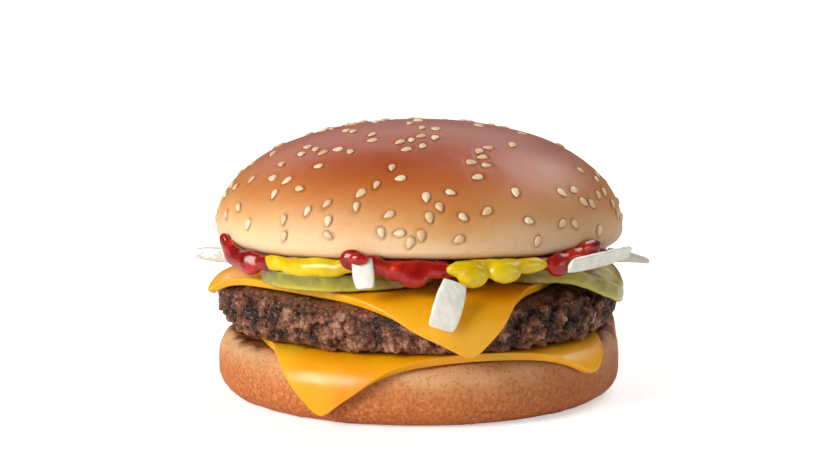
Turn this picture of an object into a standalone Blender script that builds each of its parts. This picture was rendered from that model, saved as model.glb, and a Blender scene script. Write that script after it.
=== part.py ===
"""Cheeseburger in a sesame bun, built of its real layers from the heel up.

Metres, +Z up. The origin is on the flat bottom of the heel, on the bun's axis. The front of the
burger faces -Y. A bearing is an angle in degrees round the axis: 0 is the front, 90 is +X.
A profile is a list of (radius, height) points, from the axis outwards.
"""

import math
import random

import bmesh
import bpy
from mathutils import Vector, noise

mm = 0.001

# The stack, from the table up
GAP = 0.3 * mm  # clear space between neighbouring solids
HEEL_HEIGHT = 14.0 * mm
SLICE_THICKNESS = 1.9 * mm
SLICE_FLOAT = 0.12 * mm  # more room under a slice, for the facets of what it lies on
PATTY_HEIGHT = 11.5 * mm
PICKLE_THICKNESS = 3.8 * mm
SAUCE_THICKNESS = 0.8 * mm
BURGER_HEIGHT = 66.8 * mm

PATTY_BASE = HEEL_HEIGHT + SLICE_FLOAT + SLICE_THICKNESS + 2 * GAP
PATTY_TOP = PATTY_BASE + PATTY_HEIGHT
PICKLE_BASE = PATTY_TOP + SLICE_FLOAT + SLICE_THICKNESS + 2 * GAP
SAUCE_BASE = PICKLE_BASE + PICKLE_THICKNESS + GAP
SAUCE_TOP = SAUCE_BASE + SAUCE_THICKNESS
CROWN_BASE = SAUCE_TOP + GAP

# Heel, the bottom half of the bun. Its cut face is dished, and the rim stands up at both sides
HEEL_RADIUS = 49.6 * mm
HEEL_WIDEST = 9.2 * mm
HEEL_FOOT_RADIUS = 43.5 * mm  # the flat that it rests on
HEEL_FOOT_ROUND = 6.0 * mm
HEEL_RIM = (44.0 * mm, 14.2 * mm)  # radius and height of the rim at the front
HEEL_SWELLS = ((-86.0, 17.0, 1.8 * mm, 1.3 * mm), (97.0, 14.0, 4.2 * mm, 4.6 * mm))
HEEL_DISH = 3.6 * mm  # from the rim in to the flat of the dish
HEEL_DISH_RISE = 0.55  # share of the rim's height at the middle of that slope
HEEL_SEGMENTS = 44

# Crown, the domed top half of the bun
CROWN_RADIUS = 50.3 * mm
CROWN_CUT_RADIUS = 45.0 * mm
CROWN_CUT_RINGS = (0.45, 0.8)  # shares of that radius
CROWN_WIDEST = 40.4 * mm
CROWN_FRONT_LIFT = 1.8 * mm  # the filling holds the front edge up
CROWN_POWER = 2.12  # 2 would be an ellipse
CROWN_SEGMENTS = 44
CROWN_RINGS = (0.17, 0.34, 0.5, 0.65, 0.78, 0.88, 0.95, 0.987)  # shares of the dome's rise

# Sesame seeds on the crown
SEED_COUNT = 190
SEED_SIZE = (1.5 * mm, 0.95 * mm, 0.5 * mm)  # half length, half width, half thickness
SEED_TAPER = 0.3  # share of the half width that one end loses and the other gains
SEED_STAND = 0.08 * mm  # the seed's middle over the crust
SEED_SPACING = 2.7 * mm
SEED_LOWEST = 0.05  # height of the lowest seeds, as a share of the dome's rise
SEED_CROWDING = 1.1  # over 1 crowds them towards the top
SEED_DRAW = 7

# Patty. Its side leans in towards the bottom, most of all at the right and left
PATTY_RADIUS = 49.7 * mm
PATTY_WIDEST = 23.5 * mm
PATTY_FLAT_RADIUS = 43.0 * mm
PATTY_FOOT_RADIUS = 43.0 * mm
PATTY_CHANGES = (  # bearing and spread, then what the widest, flat and foot radius gain there
    (85.0, 42.0, -0.8 * mm, -2.4 * mm, -2.3 * mm),
    (-88.0, 34.0, 0.0, 0.0, -0.5 * mm),
)
PATTY_SEGMENTS = 52
PATTY_LUMP = 0.8 * mm
PATTY_LUMP_SIZE = 11.0 * mm
PATTY_LUMP_LEVEL = 0.55  # higher noise than this leaves the outline as it is
PATTY_FINE_LUMP = (2.3, 0.5)  # how much finer and how strong the second noise is

# Cheese slices: each corner's reach along the slice and bearing, then how far the edge from that
# corner to the next one swells, and a power: under 1 the swell is nearer that corner
LOWER_SLICE = (
    (61.2 * mm, -25.5, 0.8 * mm, 1.0),
    (53.6 * mm, 49.3, 4.0 * mm, 0.6),
    (57.0 * mm, 145.0, 1.5 * mm, 1.0),
    (57.5 * mm, 238.0, 1.6 * mm, 1.0),
)
UPPER_SLICE = (
    (61.2 * mm, 13.8, 1.8 * mm, 1.0),
    (46.0 * mm, 108.0, 3.0 * mm, 1.0),
    (57.0 * mm, 190.0, 2.0 * mm, 1.0),
    (53.4 * mm, 282.0, 6.4 * mm, 1.5),
)
SLICE_EDGE_STEPS = 9
SLICE_RINGS = (22 * mm, 38 * mm, 44.4 * mm, 47 * mm, 49.6 * mm, 52.2 * mm, 55 * mm)  # reaches
SLICE_EDGE = 0.8 * mm  # least distance between the last rings
SLICE_EASE = 1.0 * mm  # room that the bend of a slice keeps to what it lies on

# Pickles: centre x and y and radius, then how much and towards which bearing it bends down over the
# patty's side; the right one does most
PICKLES = {
    "pickle_left": (-16.5 * mm, -25.0 * mm, 20.4 * mm, 2.0, -36.0),
    "pickle_right": (29.8 * mm, -14.0 * mm, 19.4 * mm, 38.0, 75.0),
    "pickle_back_right": (33.5 * mm, 20.5 * mm, 15.4 * mm, 4.0, 75.0),
    "pickle_back_left": (-22.0 * mm, 22.5 * mm, 18.5 * mm, 0.0, 0.0),
}
PICKLE_RIM = 0.7 * mm
PICKLE_RING = 0.55  # share of the radius at which each face has a ring
PICKLE_SEGMENTS = 20
DROOP_FROM = 38.8 * mm

# Sauces: start and end bearing, then lobes of (bearing, spread, drip, climb, bulge)
SAUCES = {
    "ketchup_left": ("ketchup", -65.5, -43.5, ((-61.5, 7.0, 1.6, 3.6, 1.6), (-51.5, 7.5, 2.2, 1.6, 2.0))),
    "mustard_left": ("mustard", -42.5, -20.5, ((-37.0, 9.0, 0.4, 0.7, 1.1), (-27.0, 7.0, 0.4, 0.5, 0.9))),
    "ketchup_front": ("ketchup", -19.5, 8.0, ((-15.0, 4.0, 0.6, 2.6, 1.0), (-2.0, 7.0, 1.4, 0.6, 1.0))),
    "mustard_right": ("mustard", 9.0, 33.0, ((14.0, 5.5, 1.4, 0.6, 1.8), (25.0, 5.5, 0.8, 0.8, 1.7))),
    "ketchup_right": ("ketchup", 34.0, 62.0, ((38.0, 6.0, 1.3, 1.2, 1.3), (51.0, 9.0, 0.3, 3.0, 0.8))),
    "mustard_back": ("mustard", 108.0, 136.0, ((122.0, 11.0, 0.2, 0.8, 1.4),)),
    "ketchup_back": ("ketchup", 156.0, 192.0, ((167.0, 9.0, 1.2, 2.6, 1.8), (182.0, 8.0, 0.4, 1.2, 1.2))),
    "mustard_far_left": ("mustard", -142.0, -112.0, ((-126.0, 11.0, 0.2, 1.0, 1.5),)),
}
SAUCE_INNER = 8.0 * mm
SAUCE_STEPS = 7
SAUCE_CLEAR = 0.5 * mm  # from the crown's rounded edge
SAUCE_RISE = 0.4 * mm  # how far a sauce laps over the crown's edge where it has no lobe
SAUCE_SWELL = 0.4 * mm  # how far a sauce stands out where it has no lobe
SAUCE_HUG = (0.06, 0.25, 0.6)  # shares of the rise at which it follows the crown's edge
SAUCE_FLAT = CROWN_CUT_RADIUS - 2.0 * mm  # the thin flat part ends here
SAUCE_LIP = CROWN_CUT_RADIUS + 1.5 * mm  # and the underside turns down here
SAUCE_ENDS = 0.35  # share of the swell that is left at both ends
SAUCE_BLUNT = 0.6  # under 1 fills the ends out

# Onion pieces: start and end as (radius, bearing, height), width, thickness, arch, tilt, end width
ONIONS = {
    "onion_left": ((42.5, -86.0, 32.8), (55.6, -90.5, 33.3), 4.3, 1.6, 0.3, 80.0, 0.75),
    "onion_front_short": ((52.0, -13.9, 39.0), (52.7, -12.9, 32.4), 5.3, 1.5, 0.3, 0.0, 0.9),
    "onion_front_long": ((51.9, 8.8, 34.0), (54.6, 4.9, 23.8), 6.4, 1.4, 1.0, 0.0, 1.1),
    "onion_right_upper": ((53.2, 39.5, 36.0), (54.4, 65.5, 36.8), 4.4, 1.3, 0.4, 66.0, 0.9),
    "onion_right_lower": ((46.4, 79.0, 34.1), (56.8, 82.5, 32.3), 4.6, 1.4, 0.6, 72.0, 0.3),
    "onion_back": ((40.0, 157.0, 31.9), (55.5, 152.0, 31.6), 4.8, 1.8, 0.8, 10.0, 0.8),
    "onion_back_left": ((40.0, -172.0, 31.9), (54.5, -168.0, 31.9), 5.2, 1.8, 0.6, -8.0, 0.5),
}
ONION_STATIONS = 5
ONION_NARROW = 0.86  # width of the two ends, as a share of the middle
ONION_SECTION = (  # the strip's rounded section, in half widths and half thicknesses
    (1, 0.45),
    (0.82, 1),
    (0, 1.1),
    (-0.82, 1),
    (-1, 0.45),
    (-1, -0.5),
    (0, -0.95),
    (1, -0.5),
)
SHARP_ANGLE = 50.0

COLOURS = {  # base colour and roughness
    "crust": ((0.56, 0.24, 0.09), 0.45),
    "crumb": ((0.66, 0.36, 0.16), 0.7),
    "beef": ((0.12, 0.05, 0.03), 0.55),
    "cheese": ((0.90, 0.45, 0.03), 0.35),
    "pickle": ((0.36, 0.38, 0.07), 0.25),
    "ketchup": ((0.48, 0.01, 0.005), 0.15),
    "mustard": ((0.80, 0.62, 0.02), 0.25),
    "onion": ((0.86, 0.86, 0.80), 0.25),
}


def clear_scene():
    for obj in list(bpy.data.objects):
        bpy.data.objects.remove(obj)


def finish_of(slot):
    """The material of a slot, made once."""
    found = bpy.data.materials.get(slot)
    if found:
        return found
    colour, roughness = COLOURS[slot]
    made = bpy.data.materials.new(slot)
    made.use_nodes = True
    shader = made.node_tree.nodes["Principled BSDF"]
    shader.inputs["Base Color"].default_value = (*colour, 1.0)
    shader.inputs["Roughness"].default_value = roughness
    return made


def place(radius, bearing, height):
    """The point at a radius and bearing from the axis."""
    angle = math.radians(bearing)
    return Vector((radius * math.sin(angle), -radius * math.cos(angle), height))


def nearness(bearing, centre, spread):
    """1 at the centre bearing, falling to 0 well past the spread."""
    off = (bearing - centre + 180) % 360 - 180
    return math.exp(-((off / spread) ** 2))


def arc(centre, half_axes, start, end, steps):
    """Points of an elliptical arc in a profile, its angles from the outward direction."""
    points = []
    for i in range(steps + 1):
        angle = math.radians(start + (end - start) * i / steps)
        outward, upward = half_axes[0] * math.cos(angle), half_axes[1] * math.sin(angle)
        points.append((centre[0] + outward, centre[1] + upward))
    return points


def add_object(name, bm, slot, turn_out=True):
    """Turns a bmesh into a named, smooth-shaded object, its faces turned outwards."""
    if turn_out:
        bmesh.ops.recalc_face_normals(bm, faces=bm.faces)
    mesh = bpy.data.meshes.new(name)
    bm.to_mesh(mesh)
    bm.free()
    mesh.shade_smooth()
    mesh.set_sharp_from_angle(angle=math.radians(SHARP_ANGLE))
    obj = bpy.data.objects.new(name, mesh)
    obj.data.materials.append(finish_of(slot))
    bpy.context.scene.collection.objects.link(obj)
    return obj


def turned(profile_at, segments):
    """A closed bmesh round the axis. profile_at(bearing) starts and ends on the axis."""
    bm = bmesh.new()
    columns = []
    for i in range(segments):
        bearing = 360 * i / segments
        columns.append([bm.verts.new(place(r, bearing, z)) for r, z in profile_at(bearing)])
    for first, second in zip(columns, columns[1:] + columns[:1]):
        for j in range(len(first) - 1):
            bm.faces.new((first[j], second[j], second[j + 1], first[j + 1]))
    bmesh.ops.remove_doubles(bm, verts=bm.verts, dist=0.01 * mm)
    return bm


def heel_rim(bearing):
    """Radius and height of the heel's rim at a bearing."""
    radius, height = HEEL_RIM
    for centre, spread, outward, upward in HEEL_SWELLS:
        share = nearness(bearing, centre, spread)
        radius += outward * share
        height += upward * share
    return radius, height


def heel_top(bearing, steps, ease=0.0):
    """The heel's dished cut face, rim and upper side. ease stands off it at the rim."""
    radius, height = heel_rim(bearing)
    dish = radius - HEEL_DISH
    middle = (dish + radius) / 2, HEEL_HEIGHT + HEEL_DISH_RISE * (height - HEEL_HEIGHT)
    half_axes = (HEEL_RADIUS - radius, height - HEEL_WIDEST)
    side = arc((radius + ease, HEEL_WIDEST), half_axes, 90, 0, steps)
    return [(0.0, HEEL_HEIGHT), (dish, HEEL_HEIGHT), middle, *side]


def patty_sizes(bearing):
    """Widest, flat and foot radius of the patty at a bearing."""
    sizes = [PATTY_RADIUS, PATTY_FLAT_RADIUS, PATTY_FOOT_RADIUS]
    for centre, spread, *changes in PATTY_CHANGES:
        share = nearness(bearing, centre, spread)
        sizes = [size + change * share for size, change in zip(sizes, changes)]
    return sizes


def patty_top(bearing, steps, ease=0.0):
    """The patty's top and shoulder, out to its widest. ease stands off it at the bend."""
    widest, flat, _ = patty_sizes(bearing)
    half_axes = (widest - flat, PATTY_TOP - PATTY_WIDEST)
    return [(0.0, PATTY_TOP), *arc((flat + ease, PATTY_WIDEST), half_axes, 90, 0, steps)]


def crown_lift(bearing, radius, height):
    """How far the crown's lower edge is held up at a bearing."""
    front = max(0.0, math.cos(math.radians(bearing))) ** 2
    inwards = min(1.0, radius / CROWN_CUT_RADIUS) ** 2
    low = (CROWN_WIDEST - height) / (CROWN_WIDEST - CROWN_BASE)
    return CROWN_FRONT_LIFT * front * inwards * low


def crown_under(bearing, steps):
    """The crown's cut face and turned-in lower edge, out to its widest."""
    half_axes = (CROWN_RADIUS - CROWN_CUT_RADIUS, CROWN_WIDEST - CROWN_BASE)
    edge = arc((CROWN_CUT_RADIUS, CROWN_WIDEST), half_axes, -90, 0, steps)
    face = [(CROWN_CUT_RADIUS * share, CROWN_BASE) for share in (0.0, *CROWN_CUT_RINGS)]
    return [(r, z + crown_lift(bearing, r, z)) for r, z in face + edge]


def crown_edge_height(bearing):
    """The height of the crown's lowest edge at a bearing."""
    return CROWN_BASE + crown_lift(bearing, CROWN_CUT_RADIUS, CROWN_BASE)


def crown_edge_radius(bearing, height):
    """The radius of the crown's turned-in edge at a height, and of its widest above that."""
    share = (CROWN_WIDEST - height) / (CROWN_WIDEST - crown_edge_height(bearing))
    share = min(1.0, max(0.0, share))
    return CROWN_CUT_RADIUS + (CROWN_RADIUS - CROWN_CUT_RADIUS) * math.sqrt(1 - share * share)


def dome_radius(share):
    """The crown's radius at a share of the dome's rise."""
    return CROWN_RADIUS * (1 - share**CROWN_POWER) ** (1 / CROWN_POWER)


def dome_point(bearing, share):
    """The point of the dome at a share of its rise, and the outward normal there."""
    rise = BURGER_HEIGHT - CROWN_WIDEST
    radius = dome_radius(share)
    slope_out = (radius / CROWN_RADIUS) ** (CROWN_POWER - 1) / CROWN_RADIUS
    slope_up = share ** (CROWN_POWER - 1) / rise
    point = place(radius, bearing, CROWN_WIDEST + share * rise)
    return point, place(slope_out, bearing, slope_up).normalized()


def heel_profile(bearing):
    top = heel_top(bearing, 4)
    foot_centre = HEEL_FOOT_RADIUS, HEEL_FOOT_ROUND
    foot_axes = HEEL_RADIUS - HEEL_FOOT_RADIUS, HEEL_FOOT_ROUND
    return [*top, *arc(foot_centre, foot_axes, -12, -90, 4), (0.0, 0.0)]


def make_heel():
    return add_object("heel", turned(heel_profile, HEEL_SEGMENTS), "crumb")


def seed_spots():
    """Seed centres, normals and turns, spread over the dome by a seeded draw with a least distance."""
    draw = random.Random(SEED_DRAW)
    spots = []
    while len(spots) < SEED_COUNT:
        share = 1 - (1 - SEED_LOWEST) * draw.random() ** SEED_CROWDING
        centre, normal = dome_point(draw.uniform(-180, 180), share)
        turn = draw.uniform(0, math.pi)
        if all((centre - other).length > SEED_SPACING for other, _, _ in spots):
            spots.append((centre, normal, turn))
    return spots


def make_seed(number, centre, normal, turn):
    """One sesame seed, half sunk in the crust and narrower at one end."""
    half_length, half_width, half_thickness = SEED_SIZE
    bm = bmesh.new()
    bmesh.ops.create_uvsphere(bm, u_segments=5, v_segments=3, radius=1.0)
    across = normal.cross(Vector((0, 0, 1)) if abs(normal.z) < 0.9 else Vector((1, 0, 0))).normalized()
    length_way = across * math.cos(turn) + normal.cross(across) * math.sin(turn)
    width_way = normal.cross(length_way)
    for vert in bm.verts:
        x, y, z = vert.co
        narrow = 1 - SEED_TAPER * x
        vert.co = centre + length_way * (x * half_length) + width_way * (y * narrow * half_width)
        vert.co += normal * (z * half_thickness + SEED_STAND)
    return add_object(f"seed_{number}", bm, "crust", turn_out=False)


def fuse_seeds(crown):
    """One union of the crown with all its seeds, applied."""
    seeds = bpy.data.collections.new("seeds")
    bpy.context.scene.collection.children.link(seeds)
    for number, spot in enumerate(seed_spots()):
        seed = make_seed(number, *spot)
        bpy.context.scene.collection.objects.unlink(seed)
        seeds.objects.link(seed)
    union = crown.modifiers.new("seeds", "BOOLEAN")
    union.operation = "UNION"
    union.operand_type = "COLLECTION"
    union.collection = seeds
    union.solver = "MANIFOLD"
    bpy.context.view_layer.objects.active = crown
    bpy.ops.object.modifier_apply(modifier=union.name)
    for seed in list(seeds.objects):
        bpy.data.objects.remove(seed)
    bpy.data.collections.remove(seeds)


def crown_profile(bearing):
    rise = BURGER_HEIGHT - CROWN_WIDEST
    dome = [(dome_radius(share), CROWN_WIDEST + share * rise) for share in CROWN_RINGS]
    return [*crown_under(bearing, 4), *dome, (0.0, BURGER_HEIGHT)]


def make_crown():
    crown = add_object("crown", turned(crown_profile, CROWN_SEGMENTS), "crust")
    fuse_seeds(crown)
    return crown


def patty_profile(bearing):
    widest, _, foot = patty_sizes(bearing)
    side = arc((foot, PATTY_WIDEST), (widest - foot, PATTY_WIDEST - PATTY_BASE), -22, -90, 3)
    return [*patty_top(bearing, 4), *side, (0.0, PATTY_BASE)]


def make_patty():
    """The patty, with lumps that go in from its smooth outline."""
    bm = turned(patty_profile, PATTY_SEGMENTS)
    for vert in bm.verts:
        radius = math.hypot(vert.co.x, vert.co.y)
        if radius < PATTY_FOOT_RADIUS * 0.9:
            continue
        spot = vert.co / PATTY_LUMP_SIZE
        finer, strength = PATTY_FINE_LUMP
        lump = noise.noise(spot) + strength * noise.noise(spot * finer)
        midway = math.sin(math.pi * (vert.co.z - PATTY_BASE) / PATTY_HEIGHT)
        depth = PATTY_LUMP * max(0.0, PATTY_LUMP_LEVEL - lump) * midway
        vert.co.x *= 1 - depth / radius
        vert.co.y *= 1 - depth / radius
    return add_object("patty", bm, "beef")


def walk(bed, reach, lift):
    """The (radius, height) found by going a distance along a bed profile, lifted off it."""
    for (r0, z0), (r1, z1) in zip(bed, bed[1:]):
        length = math.hypot(r1 - r0, z1 - z0)
        if reach <= length or (r1, z1) == bed[-1]:
            share = reach / length
            rise_r, rise_z = (z0 - z1) / length * lift, (r1 - r0) / length * lift
            return r0 + (r1 - r0) * share + rise_r, z0 + (z1 - z0) * share + rise_z
        reach -= length


def slice_outline(corners):
    """(reach, bearing) points round the edge of a slice."""
    points = []
    for corner, next_corner in zip(corners, corners[1:] + corners[:1]):
        swell, power = corner[2:]
        first, second = place(*corner[:2], 0), place(*next_corner[:2], 0)
        for i in range(SLICE_EDGE_STEPS):
            share = i / SLICE_EDGE_STEPS
            point = first.lerp(second, share)
            length = point.length + swell * math.sin(math.pi * share**power)
            points.append((length, math.degrees(math.atan2(point.x, -point.y))))
    return points


def make_slice(name, corners, bed_at):
    """A square of cheese laid over a bed, its corners hanging down the side."""
    lift = GAP + SLICE_FLOAT + SLICE_THICKNESS / 2
    bm = bmesh.new()
    hub = bm.verts.new((0, 0, bed_at(0)[0][1] + lift))
    columns = []
    for length, bearing in slice_outline(corners):
        limits = [length - SLICE_EDGE * i for i in range(len(SLICE_RINGS), 0, -1)]
        reaches = [*map(min, SLICE_RINGS, limits), length]
        ring = [walk(bed_at(bearing), reach, lift) for reach in reaches]
        columns.append([hub] + [bm.verts.new(place(r, bearing, z)) for r, z in ring])
    for first, second in zip(columns, columns[1:] + columns[:1]):
        bm.faces.new((hub, first[1], second[1]))
        for j in range(1, len(first) - 1):
            bm.faces.new((first[j], first[j + 1], second[j + 1], second[j]))
    obj = add_object(name, bm, "cheese")
    solidify = obj.modifiers.new("thickness", "SOLIDIFY")
    solidify.thickness = SLICE_THICKNESS
    solidify.offset = 0.0
    return obj


def lower_bed(bearing):
    return [*heel_top(bearing, 10, SLICE_EASE), (HEEL_RADIUS, 0.0)]


def upper_bed(bearing):
    top = patty_top(bearing, 10, SLICE_EASE)
    return [*top, (top[-1][0] - SLICE_THICKNESS, PATTY_BASE)]


def make_pickle(name, x, y, radius, droop, droop_bearing):
    """A disc of pickle. droop, in 1/m, bends its outer side down."""
    rings = ((PICKLE_RING, 0.0), (1 - PICKLE_RIM / radius, 0.0), (1.0, PICKLE_RIM))
    under = [(0.0, 0.0), *((radius * share, height) for share, height in rings)]
    profile = under + [(r, PICKLE_THICKNESS - z) for r, z in reversed(under)]
    bm = turned(lambda bearing: profile, PICKLE_SEGMENTS)
    towards = place(1.0, droop_bearing, 0.0)
    for vert in bm.verts:
        vert.co += Vector((x, y, PICKLE_BASE))
        vert.co.z -= droop * max(0.0, vert.co.dot(towards) - DROOP_FROM) ** 2
    return add_object(name, bm, "pickle")


def sauce_section(bearing, lobes, fullness):
    """A sauce's outline at a bearing. fullness goes from 0 at its two ends to 1 between."""
    drip = climb = bulge = 0.0
    for centre, spread, lobe_drip, lobe_climb, lobe_bulge in lobes:
        share = nearness(bearing, centre, spread) * mm
        drip = max(drip, lobe_drip * share)
        climb = max(climb, lobe_climb * share)
        bulge = max(bulge, lobe_bulge * share)
    edge = crown_edge_height(bearing)
    level = edge + SAUCE_RISE + climb * fullness
    hug = [edge + (level - edge) * share for share in SAUCE_HUG]
    hug = [(crown_edge_radius(bearing, z) + SAUCE_CLEAR, z - SAUCE_CLEAR / 3) for z in hug]
    wall = crown_edge_radius(bearing, level) + SAUCE_CLEAR
    swell = (SAUCE_SWELL + bulge) * (SAUCE_ENDS + (1 - SAUCE_ENDS) * fullness)
    low = SAUCE_BASE - drip * fullness
    middle = (low + level) / 2
    outside = [
        (wall, level),
        (wall + 0.75 * swell, level - 0.3 * (level - middle)),
        (wall + swell, middle - 0.3 * (middle - low)),
        (wall + 0.4 * swell, low + 0.08 * (middle - low)),
        (SAUCE_LIP, SAUCE_BASE),
    ]
    inside = [(SAUCE_INNER, SAUCE_BASE), (SAUCE_INNER, SAUCE_TOP), (SAUCE_FLAT, SAUCE_TOP)]
    return [*inside, *hug, *outside, (SAUCE_FLAT, SAUCE_BASE)]


def lofted(name, rings, slot):
    """A closed solid through rings of equally many points, capped at both ends."""
    bm = bmesh.new()
    loops = [[bm.verts.new(point) for point in ring] for ring in rings]
    for first, second in zip(loops, loops[1:]):
        for i in range(len(first)):
            j = (i + 1) % len(first)
            bm.faces.new((first[i], first[j], second[j], second[i]))
    bm.faces.new(loops[0])
    bm.faces.new(list(reversed(loops[-1])))
    return add_object(name, bm, slot)


def make_sauce(name, slot, start, end, lobes):
    """A sector of sauce between the pickles and the crown that swells out at the edge."""
    rings = []
    for i in range(SAUCE_STEPS):
        share = i / (SAUCE_STEPS - 1)
        bearing = start + (end - start) * share
        fullness = max(0.0, math.sin(math.pi * share)) ** SAUCE_BLUNT
        rings.append([place(r, bearing, z) for r, z in sauce_section(bearing, lobes, fullness)])
    return lofted(name, rings, slot)


def make_onion(name, start, end, width, thickness, arch, tilt, end_width):
    """A cut strip of onion, gently arched, with rounded edges."""
    first, last = (place(r * mm, bearing, z * mm) for r, bearing, z in (start, end))
    along = (last - first).normalized()
    outward = ((first + last) / 2 * Vector((1, 1, 0))).normalized()
    flat = along.cross(Vector((0, 0, 1)) if abs(along.z) < 0.6 else outward).normalized()
    turn = math.radians(tilt)
    across = flat * math.cos(turn) + flat.cross(along) * math.sin(turn)
    thick = along.cross(across).normalized()
    if thick.dot(outward + Vector((0, 0, 1))) < 0:
        thick = -thick
    half_w, half_t = width * mm / 2, thickness * mm / 2
    rings = []
    for i in range(ONION_STATIONS):
        share = i / (ONION_STATIONS - 1)
        midway = math.sin(math.pi * share)
        middle = first.lerp(last, share) + thick * (arch * mm * midway)
        half = half_w * (ONION_NARROW + (1 - ONION_NARROW) * midway) * (1 + (end_width - 1) * share)
        rings.append([middle + across * (a * half) + thick * (b * half_t) for a, b in ONION_SECTION])
    return lofted(name, rings, "onion")


def main():
    clear_scene()
    make_heel()
    make_slice("cheese_lower", LOWER_SLICE, lower_bed)
    make_patty()
    make_slice("cheese_upper", UPPER_SLICE, upper_bed)
    for name, sizes in PICKLES.items():
        make_pickle(name, *sizes)
    for name, values in SAUCES.items():
        make_sauce(name, *values)
    for name, values in ONIONS.items():
        make_onion(name, *values)
    make_crown()


main()
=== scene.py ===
"""Looks for a cheeseburger in a sesame seed bun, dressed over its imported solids.

Metres, +Z up, the front of the burger faces -Y. A bearing is an angle in degrees round the bun's
axis: 0 is the front, 90 is +X. The pieces come from the table up, then materials, light and camera.
"""

import math
import random

import bmesh
import bpy
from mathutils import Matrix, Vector, kdtree, noise


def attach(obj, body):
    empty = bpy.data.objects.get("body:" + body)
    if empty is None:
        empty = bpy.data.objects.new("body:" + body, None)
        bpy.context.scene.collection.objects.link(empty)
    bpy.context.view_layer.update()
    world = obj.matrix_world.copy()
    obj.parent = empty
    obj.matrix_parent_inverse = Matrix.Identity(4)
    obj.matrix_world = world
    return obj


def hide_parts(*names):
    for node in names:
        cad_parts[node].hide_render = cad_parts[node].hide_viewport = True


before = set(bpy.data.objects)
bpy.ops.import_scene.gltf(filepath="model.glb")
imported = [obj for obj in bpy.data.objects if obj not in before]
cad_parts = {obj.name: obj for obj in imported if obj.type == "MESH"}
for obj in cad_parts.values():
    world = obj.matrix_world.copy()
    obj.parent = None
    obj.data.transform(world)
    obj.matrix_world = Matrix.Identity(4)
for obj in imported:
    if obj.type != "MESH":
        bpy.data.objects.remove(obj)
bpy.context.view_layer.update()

mm = 0.001

# How finely the pieces are divided
HEEL_SEGMENTS = 480
CROWN_SEGMENTS = 600
PATTY_SEGMENTS = 1000
PICKLE_SEGMENTS = 180
SAUCE_VOXEL = 0.3 * mm

# Bun sizes, as in the solids
HEEL_HEIGHT = 14.0 * mm
HEEL_RADIUS = 49.6 * mm
HEEL_WIDEST = 9.2 * mm
HEEL_FOOT_RADIUS = 43.5 * mm
HEEL_FOOT_ROUND = 6.0 * mm
HEEL_RIM = (44.0 * mm, 14.2 * mm)
HEEL_SWELLS = ((-86.0, 17.0, 1.8 * mm, 1.3 * mm), (97.0, 14.0, 4.2 * mm, 4.6 * mm))
HEEL_TOAST = ((-66.0, 34.0, 2.0 * mm, 0.0), (80.0, 18.0, 3.4 * mm, 1.2 * mm))
HEEL_TOAST_EDGE = 1.5 * mm  # how wide the toast fades
HEEL_DISH = 3.6 * mm
HEEL_DISH_RISE = 0.55

CROWN_BASE = 35.94 * mm
CROWN_TOP = 66.8 * mm
CROWN_RADIUS = 50.3 * mm
CROWN_CUT_RADIUS = 45.0 * mm
CROWN_WIDEST = 40.4 * mm
CROWN_FRONT_LIFT = 1.8 * mm
CROWN_POWER = 2.12

# Sesame seeds, as in the solids
SEED_COUNT = 190
SEED_SIZE = (1.5 * mm, 0.95 * mm, 0.5 * mm)
SEED_SPACING = 2.7 * mm
SEED_LOWEST = 0.05
SEED_CROWDING = 1.1
SEED_DRAW = 7
SEED_LOOKS_DRAW = 21
SEED_SIZES = (0.78, 0.96)  # share of the full size
SEED_PLUMPNESS = (0.94, 1.14)
SEED_LEAN = 0.14

# Patty, as in the solid
PATTY_BASE = 16.62 * mm
PATTY_TOP = 28.12 * mm
PATTY_RADIUS = 49.7 * mm
PATTY_WIDEST = 23.5 * mm
PATTY_FLAT_RADIUS = 43.0 * mm
PATTY_FOOT_RADIUS = 43.0 * mm
PATTY_FULLNESS = 0.6  # under 1 fills out the side towards the foot
PATTY_CHANGES = (
    (85.0, 42.0, -0.8 * mm, -2.4 * mm, -2.3 * mm),
    (-88.0, 34.0, 0.0, 0.0, -0.5 * mm),
)

# Crumbled side of the patty
LUMP_DEPTH = 3.4 * mm
LUMPS_OUT = 1.2 * mm  # the furthest that a lump stands out
LUMPS_HELD_BACK = (86.0, 40.0, 1.0 * mm)  # less than that round this bearing

# Cheese slices, as in the solids
SLICE_THICKNESS = 1.9 * mm
SLICE_LIFT = 0.42 * mm  # from what a slice lies on to its underside
SLICE_EASE = 1.0 * mm
SLICE_STEPS = 44  # points of each edge
SLICE_RINGS = 44
SLICE_ROUNDING = 4
SLICE_BED_STEPS = 60
LOWER_SLICE = (
    (61.2 * mm, -25.5, 0.8 * mm, 1.0),
    (53.6 * mm, 49.3, 4.0 * mm, 0.6),
    (57.0 * mm, 145.0, 1.5 * mm, 1.0),
    (57.5 * mm, 238.0, 1.6 * mm, 1.0),
)
UPPER_SLICE = (
    (61.2 * mm, 13.8, 1.8 * mm, 1.0),
    (46.0 * mm, 108.0, 3.0 * mm, 1.0),
    (57.0 * mm, 190.0, 2.0 * mm, 1.0),
    (53.4 * mm, 282.0, 6.4 * mm, 1.5),
)

# Pickles, as in the solids
PICKLE_BASE = 30.74 * mm
PICKLE_THICKNESS = 3.8 * mm
PICKLES = {
    "pickle_left": (-16.5 * mm, -25.0 * mm, 20.4 * mm, 2.0, -36.0),
    "pickle_right": (29.8 * mm, -14.0 * mm, 19.4 * mm, 38.0, 75.0),
    "pickle_back_right": (33.5 * mm, 20.5 * mm, 15.4 * mm, 4.0, 75.0),
    "pickle_back_left": (-22.0 * mm, 22.5 * mm, 18.5 * mm, 0.0, 0.0),
}
DROOP_FROM = 38.8 * mm


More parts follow.
